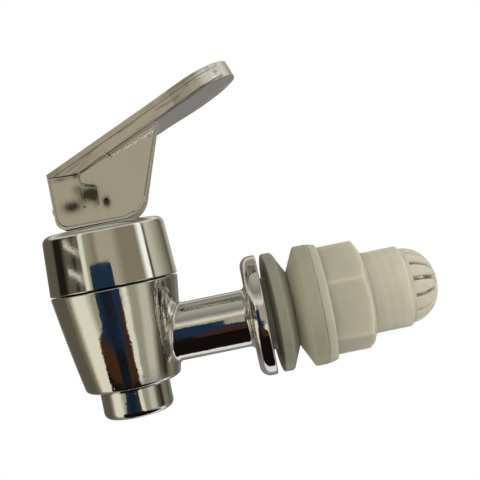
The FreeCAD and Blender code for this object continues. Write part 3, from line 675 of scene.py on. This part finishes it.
# The cheeks' outer faces are stepped back behind the pivot, less and less towards the foot.
def stepCutter(s, side):
    cutter = slab(s["step"], side * (s["cheekHalf"] - s["stepDepth"]), side * (s["cheekHalf"] + 1), 4)
    inner = [edge for edge in cutter.edges if all(abs(vert.co.y) < s["cheekHalf"] for vert in edge.verts)]
    softenEdges(cutter, inner, s["stepEdge"], 4)
    foot = min(corner[1] for corner in s["step"])
    outside = s["cheekHalf"] + s["stepStand"]
    for vert in cutter.verts:
        if abs(vert.co.y) < s["cheekHalf"]:
            share = min(1, (vert.co.z - foot) / s["stepFade"])
            vert.co.y = side * (outside - (outside - abs(vert.co.y)) * share)
    return cutter


def buildLever(s):
    lean = math.tan(math.radians(s["lean"]))
    slope = math.tan(math.radians(s["slope"]))
    middle = 0.5 * s["thickness"]
    # Where the leaning front edge meets the middle of the paddle.
    frontTop = (s["front"] + lean * (paddleUnder(s, 0, middle) - s["footHeight"])) / (1 - lean * slope)
    block = slab([
        (s["back"], s["footHeight"], s["heelReach"]), (s["front"], s["footHeight"], s["camReach"]),
        (frontTop, paddleUnder(s, frontTop, middle), s["frontRound"]),
        (0.5 * frontTop, paddleUnder(s, 0.5 * frontTop, middle), 0),
        (s["back"] + 1, paddleUnder(s, s["back"] + 1, s["heelFill"]), 0),
        (s["back"], paddleUnder(s, s["back"], s["heelFill"]), 0)], -s["cheekHalf"], s["cheekHalf"], 16)
    rims = [edge for edge in block.edges
            if all(abs(abs(vert.co.y) - s["cheekHalf"]) < samePlace for vert in edge.verts)]
    softenEdges(block, rims, s["cheekEdge"], 5)
    slot = slab([
        (s["slotBack"], s["slotFoot"], 0), (s["slotFront"], s["slotFoot"], 0),
        (s["slotFront"], paddleUnder(s, s["slotFront"], s["thickness"]), 0),
        (s["slotBack"], paddleUnder(s, s["slotBack"], s["thickness"]), 0)], -s["slotHalf"], s["slotHalf"])
    lever = combine(block, slot, "DIFFERENCE")
    lever = combine(lever, joined([stepCutter(s, -1), stepCutter(s, 1)]), "DIFFERENCE")
    heel = slab(s["heelCut"], -s["waistHalf"], s["waistHalf"])
    paddle = combine(bendPaddle(paddleBlank(s), s), heel, "DIFFERENCE")
    lever = combine(lever, paddle, "UNION")
    gate = bmesh.new()
    bmesh.ops.create_uvsphere(gate, u_segments=24, v_segments=12, radius=s["gateSize"])
    moved(gate, Matrix.Translation(s["gate"]) @ Matrix.Diagonal(s["gateStretch"]))
    lever = combine(lever, gate, "UNION")
    bmesh.ops.remove_doubles(lever, verts=lever.verts[:], dist=0.002)
    raised = Matrix.Translation((0, 0, s["pivot"]))
    roll = raised @ Matrix.Rotation(math.radians(-s["roll"]), 4, "X") @ raised.inverted()
    sockets = bmesh.new()   # for the studs of the stem's head
    bmesh.ops.create_cone(sockets, cap_ends=True, radius1=s["socket"], radius2=s["socket"], segments=48,
                          depth=2 * s["socketEnd"])
    moved(sockets, raised @ Matrix.Rotation(math.radians(90), 4, "X"))
    lever = combine(moved(lever, roll), sockets, "DIFFERENCE")
    return moved(lever, toCup @ Matrix.Rotation(leverTurn, 4, "Z"))


addPiece("leverHandle", buildLever(leverSizes), leverPlating, "handle", "lever", 24.0)

# Washers: a short hub on the flat side, a cone on the other.
washerSizes = {"bore": 8.2, "hub": 9.0, "rim": 14.8, "warp": 0.075, "apex": 9.2, "hubTop": 0.0,
               "rimStart": 1.4, "rimEnd": 3.8, "meet": 6.7, "innerRim": 15.0, "innerRimStart": 9.5,
               "innerEnd": 12.9}


def buildOuterWasher(s):
    washer = turned([
        (s["hubTop"], s["bore"], 0.2), (s["hubTop"], s["hub"], 0.2), (s["rimStart"], s["hub"], 0.3),
        (s["rimStart"], s["rim"], 0.35), (s["rimEnd"], s["rim"], 0.45), (s["meet"], s["apex"], 0.25),
        (s["meet"], s["bore"], 0.15)], "X", closed=True)
    for vert in washer.verts:   # the soft rim hangs a little askew
        outward = max(0, math.hypot(vert.co.y, vert.co.z) - s["apex"]) / (s["rim"] - s["apex"])
        vert.co.x -= s["warp"] * vert.co.y * outward
    return washer


def buildInnerWasher(s):
    return turned([
        (s["meet"], s["bore"], 0.15), (s["meet"], s["apex"], 0.25), (s["innerRimStart"], s["innerRim"], 0.45),
        (s["innerEnd"], s["innerRim"], 0.45), (s["innerEnd"], s["bore"], 0.2)], "X", closed=True)


addPiece("outerWasher", buildOuterWasher(washerSizes), silicone, "body", "outer_washer")
addPiece("innerWasher", buildInnerWasher(washerSizes), paleSilicone, "clamp", "inner_washer")

# Strainer nut: collar, hexagon, sleeve and slotted crown. Rings are (along, radius, rounding).
nutSizes = {
    "start": 12.9, "collar": 15.0, "collarEnd": 15.1, "collarSlope": 0.6, "hexCorner": 14.0, "hexTurn": 37.0,
    "hexSoft": 0.6, "hexSink": 1, "hexEnd": 25.3, "chamfer": 1.7, "chamferFoot": 15.0, "chamferTop": 14.3,
    "chamferLow": 10.7, "sleeve": 10.1, "sleeveEnd": 34.4, "crown": 9.3, "crownFoot": 0.8,
    "crownStart": 36.6, "crownEnd": 42.7,
    "crownRings": [(40.0, 7.7, 1.6), (41.9, 4.9, 1.1), (42.7, 2.4, 0.7), (42.7, 0, 0)],
    "bore": 8.0, "boreEnd": 34.3, "wall": 1.7,
    "hollowRings": [(39.0, 6.4, 0.6), (41.0, 4.0, 0.4), (41.0, 0, 0)],
    "slots": 14, "slotWidth": 1.1, "slotStart": 35.7, "slotReach": 4.2, "clear": 2,
    "threadStart": 13.9, "threadSection": [(0, 8.1), (0.55, 7.05), (0.9, 7.05), (1.45, 8.1)],
    "pitch": 2.4, "threadTurns": 7.5}


def hexPrism(s):
    bm = bmesh.new()
    bmesh.ops.create_circle(bm, cap_ends=True, radius=s["hexCorner"], segments=6)
    moved(bm, Matrix.Rotation(math.radians(90), 4, "Y"))
    thicken(bm, (s["hexEnd"] - s["collarEnd"] + s["hexSink"], 0, 0))
    ribs = [edge for edge in bm.edges if abs(edge.verts[0].co.x - edge.verts[1].co.x) > 1]
    softenEdges(bm, ribs, s["hexSoft"], 5)
    return closeUp(moved(bm, Matrix.Translation((s["collarEnd"] - s["hexSink"], 0, 0))))


def buildNut(s):
    clear = s["clear"]
    body = turned([
        (s["start"], 0, 0), (s["start"], s["collar"], 0.4),
        (s["collarEnd"], s["collar"] - s["collarSlope"], 0.4), (s["collarEnd"], s["sleeve"], 0),
        (s["sleeveEnd"], s["sleeve"], 0.4), (s["sleeveEnd"] + s["crownFoot"], s["crown"], 0.3),
        (s["crownStart"], s["crown"], 1.2)] + s["crownRings"], "X", steps=168)
    prism = moved(hexPrism(s), Matrix.Rotation(math.radians(s["hexTurn"]), 4, "X"))
    cone = turned([
        (s["collarEnd"] - clear, 0, 0), (s["collarEnd"] - clear, s["chamferFoot"], 0),
        (s["hexEnd"] - s["chamfer"], s["chamferTop"], 0), (s["hexEnd"], s["chamferLow"], 0),
        (s["hexEnd"], 0, 0)], "X", steps=168)
    body = combine(body, combine(prism, cone, "INTERSECT"), "UNION")
    hollow = turned([
        (s["start"] - clear, 0, 0), (s["start"] - clear, s["bore"], 0), (s["boreEnd"], s["bore"], 0),
        (s["crownStart"], s["crown"] - s["wall"], 0.4)] + s["hollowRings"], "X", steps=168)
    body = combine(body, hollow, "DIFFERENCE")
    slots = []
    for index in range(s["slots"]):
        slot = slab([
            (s["slotStart"], s["slotReach"], 0), (s["crownEnd"] + clear, s["slotReach"], 0),
            (s["crownEnd"] + clear, s["crown"] + clear, 0), (s["slotStart"], s["crown"] + clear, 0)],
            -0.5 * s["slotWidth"], 0.5 * s["slotWidth"])
        slots.append(moved(slot, Matrix.Rotation(fullTurn * index / s["slots"], 4, "X")))
    body = combine(body, joined(slots), "DIFFERENCE")
    bmesh.ops.remove_doubles(body, verts=body.verts[:], dist=0.002)
    return joined([body, ridge(s["threadSection"], s["pitch"], s["threadTurns"], s["threadStart"])])


addPiece("strainerNut", buildNut(nutSizes), natural, "nut", "strainer_nut", 25.0)

# Inside the cup: a rubber seat cup on the stem's button, and the spring that shuts it.
seatSizes = {
    "foot": -7.4, "plug": 7.0, "bell": 8.9, "bellFoot": -4.8, "bellTop": 10.4, "bellBend": 0.2,
    "plugTop": -0.8, "wall": 1.3, "neckTop": 21.4, "rim": 13.5, "rimThick": 1.6, "stemHole": 3.25,
    "pocket": 4.9, "pocketTop": -1.85, "pocketFoot": -5.2}
springSizes = {"foot": 1.0, "top": 26.1, "coil": 4.7, "wire": 0.5, "turns": 8, "sides": 10}


def buildSeatCup(s):
    shoulder = s["neckTop"] - s["rimThick"]
    rimTop = s["neckTop"] + s["rimThick"]
    innerTop = s["bellTop"] - s["wall"]
    innerBell = s["bell"] - s["wall"]
    cup = turned([
        (s["foot"], 0, 0), (s["foot"], s["plug"], 0.6), (s["bellFoot"], s["bell"], 0.8),
        (s["bellBend"], s["bell"], 2), (shoulder, s["bellTop"], 0.5), (s["neckTop"], s["bellTop"], 0.2),
        (s["neckTop"], s["rim"], 0.3), (rimTop, s["rim"], 0.3), (rimTop, innerTop, 0.3),
        (shoulder, innerTop, 0.5), (s["bellBend"], innerBell, 0.4), (s["plugTop"], innerBell, 0.4),
        (s["plugTop"], s["stemHole"], 0.2), (s["pocketTop"], s["stemHole"], 0.2),
        (s["pocketTop"], s["pocket"], 0.2), (s["pocketFoot"], s["pocket"], 0.2),
        (s["pocketFoot"], 0, 0)], "Z", steps=96)
    return moved(cup, toCup)


def buildSpring(s):
    corners = [fullTurn * index / s["sides"] for index in range(s["sides"])]
    section = [(s["wire"] * math.cos(corner), s["coil"] + s["wire"] * math.sin(corner)) for corner in corners]
    pitch = (s["top"] - s["foot"] - 2 * s["wire"]) / s["turns"]
    coil = ridge(section, pitch, s["turns"], steps=40)
    bmesh.ops.holes_fill(coil, edges=[edge for edge in coil.edges if len(edge.link_faces) < 2], sides=0)
    closeUp(coil)
    upright = Matrix.Rotation(math.radians(-90), 4, "Y")
    return moved(coil, toCup @ Matrix.Translation((0, 0, s["foot"] + s["wire"])) @ upright)


seatCup = addPiece("seatCup", buildSeatCup(seatSizes), seatSilicone, "body", "seat_cup")
spring = addPiece("returnSpring", buildSpring(springSizes), springWire, "swivel", "return_spring",
                  60.0)

# In the real spigot both are held at the top and shorten as the stem rises. Here each only gets a mesh of its
# own,
# # and the share of its height that the lift takes is worked out and not used.
liftTravel = 1000 * next(joint for joint in frame["joints"] if joint["name"] == "stem_lift")["range_m"][1]
for piece, foot, top in ((seatCup, seatSizes["foot"], seatSizes["neckTop"]),
                         (spring, springSizes["foot"], springSizes["top"])):
    1 - liftTravel / (top - foot)
    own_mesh(piece)

# The stem keeps its solid, with a finish of its own.
stem = frame["nodes"]["valve_stem"].data
stem.materials.clear()
stem.materials.append(stemPlastic)
print("pieces built")


# Stage: a pale floor, a white backdrop, and the room that the plating mirrors.
def addStagePiece(name, bm, material, mirroredOnly=False):
    mesh = meshOf(bm, name)
    for polygon in mesh.polygons:
        polygon.use_smooth = True
    mesh.materials.append(material)
    piece = newObject(name, mesh)
    if mirroredOnly:
        for ray in ("camera", "diffuse", "shadow", "transmission", "volume_scatter"):
            setattr(piece, "visible_" + ray, False)
    return piece


# One for the rays that show the background: those of the camera, of mirrors and of clear pieces.
def backgroundRay(shader):
    rays = [shader.node("ShaderNodeLightPath", out=f"Is {kind} Ray")
            for kind in ("Camera", "Glossy", "Transmission")]
    return rays[0] + rays[1] + rays[2]


floorSizes = {"place": (-0.01, 0, -0.075), "size": 6.0, "fade": (0.05, 0.09), "paper": (0.86, 0.86, 0.86, 1)}


def addFloor(sizes):
    material, shader = newMaterial("paleFloor")
    far = shader.place().length().between(*sizes["fade"])
    paper = shader.node("ShaderNodeBsdfDiffuse", {}, {"Color": sizes["paper"]})
    shader.finish(shader.node("ShaderNodeMixShader", {}, {
        0: backgroundRay(shader) * far, 1: paper, 2: shader.glow(white)}))
    bm = bmesh.new()
    bmesh.ops.create_grid(bm, x_segments=2, y_segments=2, size=sizes["size"])
    addStagePiece("floor", bm, material).location = sizes["place"]


addFloor(floorSizes)

# The room that the plating mirrors: tones by bearing, in degrees from the camera's side towards the flange's.
# Frames are (from, to, foot, top), and rise is how bright the walls are towards the ceiling.
screenLook = {
    "radius": 1.4, "warp": 0.02, "warpScale": 3.0,
    "tones": {"dark": (0.014, 0.012, 0.007), "shade": (0.11, 0.10, 0.07), "grey": (0.25, 0.215, 0.15),
              "olive": (0.34, 0.33, 0.235), "wall": (0.42, 0.375, 0.275), "pale": (0.56, 0.54, 0.43),
              "cream": (0.82, 0.79, 0.63), "window": (1.08, 1.08, 1.03), "stone": (0.228, 0.221, 0.204)},
    "high": [(-180, "grey"), (-138, "shade"), (-106, "shade"), (-99, "dark"), (-82, "dark"), (-74, "shade"),
             (-64, "shade"), (-56, "dark"), (-50, "shade"), (-43, "shade"), (-41, "cream"), (-36, "cream"),
             (-32, "olive"), (-16, "grey"), (-7, "wall"), (18, "wall"), (32, "grey"), (66, "grey"),
             (75, "window"), (82, "window"), (84, "dark"), (87, "shade"), (90, "pale"), (97, "pale"),
             (116, "olive"), (142, "shade"), (166, "pale")],
    "low": [(-180, "stone"), (-150, "stone"), (-138, "shade"), (-94, "shade"), (-83, "grey"), (-71, "cream"),
            (-48, "cream"), (-36, "olive"), (14, "olive"), (21, "cream"), (26, "cream"), (31, "olive"),
            (43, "olive"), (51, "pale"), (63, "pale"), (76, "shade"), (92, "dark"), (108, "grey"),
            (135, "shade"), (155, "stone")],
    "frames": [(-76, -38, 0.128, 0.137), (-74, -38, 0.086, 0.095)], "frameEdge": 0.002,
    "rise": [(0.0, 0.85), (0.37, 1.0), (0.43, 1.8), (0.52, 2.0), (0.60, 1.28), (0.74, 0.60), (0.88, 0.85),
             (0.97, 1.1), (1.0, 1.12)],
    "risen": (0.16, 0.40), "ceiling": (0.39, 0.375, 0.33), "ceilingFrom": (0.30, 0.60),
    "ground": (0.25, 0.24, 0.215), "groundEnd": (0.10, 0.15)}


def opaque(tone):
    return tone + (1,)


def turnShare(angle):
    return (angle + 180) / 360


def bearingRamp(shader, bearing, stops, tones):
    spread = [(turnShare(angle), opaque(tones[tone])) for angle, tone in stops]
    spread.append((1.0, opaque(tones[stops[0][1]])))
    return shader.node("ShaderNodeValToRGB", {"stops": spread}, {"Fac": bearing})


def bearingOf(across, deep):
    return across.math("ARCTAN2", 0 - deep) * (1 / fullTurn) + 0.5


def screenMaterial(look):
    material, shader = newMaterial("roomScreen")
    way = shader.node("ShaderNodeVectorMath", {"operation": "NORMALIZE"}, {0: shader.place()})
    wander = (shader.noise(way, look["warpScale"], 3.0, 0.55) - 0.5) * look["warp"]
    bearing = bearingOf(way.part("X"), way.part("Y")) + wander
    level = way.part("Z")
    rise = level + wander
    walls = bearingRamp(shader, bearing, look["high"], look["tones"])
    for left, right, foot, top in look["frames"]:
        across = bearing.between(turnShare(left), turnShare(left + 3)) \
            * (1 - bearing.between(turnShare(right - 2), turnShare(right)))
        bar = level.within(foot, top, look["frameEdge"])
        walls = shader.mix(across * bar, walls, opaque(look["tones"]["cream"]))
    ceiling = shader.mix(rise.between(*look["ceilingFrom"]), walls, opaque(look["ceiling"]))
    bands = [(at, (light, light, light, 1)) for at, light in look["rise"]]
    banded = shader.node("ShaderNodeValToRGB", {"stops": bands}, {"Fac": rise})
    lit = shader.mix(1.0, ceiling, banded, "MULTIPLY")
    shader.finish(shader.glow(shader.mix(rise.between(*look["risen"]), ceiling, lit)))
    return material


def addScreen(look):
    bm = bmesh.new()
    bmesh.ops.create_uvsphere(bm, u_segments=48, v_segments=24, radius=look["radius"])
    addStagePiece("roomScreen", bm, screenMaterial(look), True)


addScreen(screenLook)

tableSizes = {"height": -0.0747, "inner": 0.050, "outer": 1.39, "warp": 0.03, "warpScale": 9.0}


# A sheet on the floor that only mirrors show, coloured by bearing from the cup.
def addTable(sizes, look):
    material, shader = newMaterial("mirroredTable")
    place = shader.place()
    wander = (shader.noise(place, sizes["warpScale"], 4.0, 0.6) - 0.5) * sizes["warp"]
    bearing = bearingOf(place.part("X") - cupAxis.x * millimetre, place.part("Y")) + wander
    colour = bearingRamp(shader, bearing, look["low"], look["tones"])
    far = place.length().between(*look["groundEnd"])
    shader.finish(shader.glow(shader.mix(far, opaque(look["ground"]), colour)))
    sheet = turned([(sizes["height"], sizes["inner"], 0), (sizes["height"], sizes["outer"], 0)], "Z", 96)
    addStagePiece("mirroredTable", sheet, material, True)


addTable(tableSizes, screenLook)


# A flat card that only mirrors show.
def addCard(name, corners, rounding, material):
    bm, verts = wireOf(corners, True)
    roundCorners(bm, verts, [rounding] * len(verts), 4)
    bmesh.ops.contextual_create(bm, geom=bm.edges[:])
    addStagePiece(name, bm, material, True)


# A dark card stands close in front: corners are (across, up). Pairs are where a tone starts and is full.
frontCard = {
    "distance": -0.11, "rounding": 0.003, "warp": 0.012, "warpScale": 45, "patchScale": 22,
    "corners": [(-0.150, -0.074), (0.014, -0.074), (0.004, -0.052), (-0.005, -0.036), (-0.005, -0.010),
                (-0.015, -0.002), (-0.015, 0.031), (-0.088, 0.031), (-0.091, -0.034), (-0.135, -0.052)],
    "patches": (0.46, 0.66), "middleLeft": (-0.072, -0.064), "middleRight": (-0.030, -0.024),
    "lowered": (-0.048, -0.042), "fringe": (-0.022, -0.018), "fringeTop": (-0.026, -0.020),
    "foot": (-0.074, -0.066), "depth": 0.8,
    "blue": (0.013, 0.030, 0.062, 1), "dim": (0.010, 0.013, 0.020, 1), "brown": (0.055, 0.022, 0.011, 1),
    "black": (0.007, 0.005, 0.005, 1)}


def addFrontCard(card):
    material, shader = newMaterial("frontCard")
    place = shader.place()
    ripple = (shader.noise(place, card["warpScale"], 4.0, 0.6) - 0.5) * card["warp"]
    across = place.part("X") + ripple
    up = place.part("Z") + ripple
    patches = shader.noise(place, card["patchScale"]).between(*card["patches"])
    blues = shader.mix(patches, card["blue"], card["dim"])
    middle = across.between(*card["middleLeft"]) * (1 - across.between(*card["middleRight"]))
    lowered = 1 - up.between(*card["lowered"])
    fringe = across.between(*card["fringe"]) * (1 - up.between(*card["fringeTop"]))
    browns = shader.mix((lowered * (1 - middle)).math("MAXIMUM", fringe), blues, card["brown"])
    deep = (1 - up.between(*card["foot"])).math("MAXIMUM", lowered * middle * card["depth"])
    shader.finish(shader.glow(shader.mix(deep, browns, card["black"])))
    corners = [(x, card["distance"], z) for x, z in card["corners"]]
    addCard("frontCard", corners, card["rounding"], material)


addFrontCard(frontCard)

plainCards = [
    {"name": "creamCard", "colour": (0.80, 0.77, 0.64, 1), "rounding": 0.002,
     "corners": [(0.016, -0.11, -0.073), (0.034, -0.11, -0.073), (0.012, -0.11, -0.030),
                 (-0.001, -0.11, -0.022), (-0.003, -0.11, -0.034), (0.006, -0.11, -0.052)]},
    # A dark sheet on the floor under the object that only mirrors show: painted shadow in the plating's
    # reflection.
    {"name": "mirroredShadowCard", "colour": (0.008, 0.005, 0.004, 1), "rounding": 0.01,
     "corners": [(-0.155, -0.111, -0.0744), (0.02, -0.111, -0.0744), (0.035, 0.012, -0.0744),
                 (-0.050, 0.012, -0.0744)]}]
for card in plainCards:
    material, shader = newMaterial(card["name"])
    shader.finish(shader.glow(card["colour"]))
    addCard(card["name"], card["corners"], card["rounding"], material)

worldLight = {"colour": (1, 0.985, 0.95, 1), "strength": 0.76}


def paintWorld(light):
    world = bpy.data.worlds.new("studio")
    bpy.context.scene.world = world
    world.use_nodes = True
    shader = Shader(world.node_tree)
    soft = shader.node("ShaderNodeBackground", {}, {"Color": light["colour"], "Strength": light["strength"]})
    bright = shader.node("ShaderNodeBackground", {}, {"Color": white, "Strength": 1.0})
    mixed = shader.node("ShaderNodeMixShader", {}, {0: backgroundRay(shader), 1: soft, 2: bright})
    shader.finish(mixed, "ShaderNodeOutputWorld")


paintWorld(worldLight)

lampSize = 0.35
lamps = [
    {"name": "keyLamp", "place": (-0.25, -0.35, 0.55), "aim": (-0.01, 0, 0.02), "power": 1.15},
    {"name": "sideLamp", "place": (0.45, -0.30, 0.25), "aim": (0.0, 0, 0.01), "power": 1.2},
    {"name": "lowLamp", "place": (0.12, -0.50, -0.03), "aim": (0.0, 0, 0.0), "power": 0.62}]
for lamp in lamps:
    light = bpy.data.lights.new(lamp["name"], "AREA")
    light.size = lampSize
    light.energy = lamp["power"]
    holder = newObject(lamp["name"], light)
    holder.location = lamp["place"]
    aim = Vector(lamp["aim"]) - Vector(lamp["place"])
    holder.rotation_euler = aim.to_track_quat("-Z", "Y").to_euler()
    holder.visible_glossy = False

# Camera where the photograph was taken from, rolled as it was held. Its sensor is in millimetres.
cameraSettings = {"place": (-0.0027, -0.200, 0.0193), "roll": 11.6, "angle": 33.2, "sensor": 36.0}


def addCamera(settings):
    camera = bpy.data.cameras.new("camera")
    camera.sensor_width = settings["sensor"]
    camera.lens = 0.5 * settings["sensor"] / math.tan(math.radians(settings["angle"] / 2))
    camera.clip_start = 0.01
    camera.clip_end = 20
    holder = newObject("camera", camera)
    roll = math.radians(settings["roll"])
    right = Vector((math.cos(roll), 0, -math.sin(roll)))
    up = Vector((math.sin(roll), 0, math.cos(roll)))
    turn = Matrix((right, up, right.cross(up))).transposed()
    holder.matrix_world = Matrix.Translation(settings["place"]) @ turn.to_4x4()
    bpy.context.scene.camera = holder


addCamera(cameraSettings)
bpy.context.scene.view_settings.view_transform = "Standard"
print("stage ready")
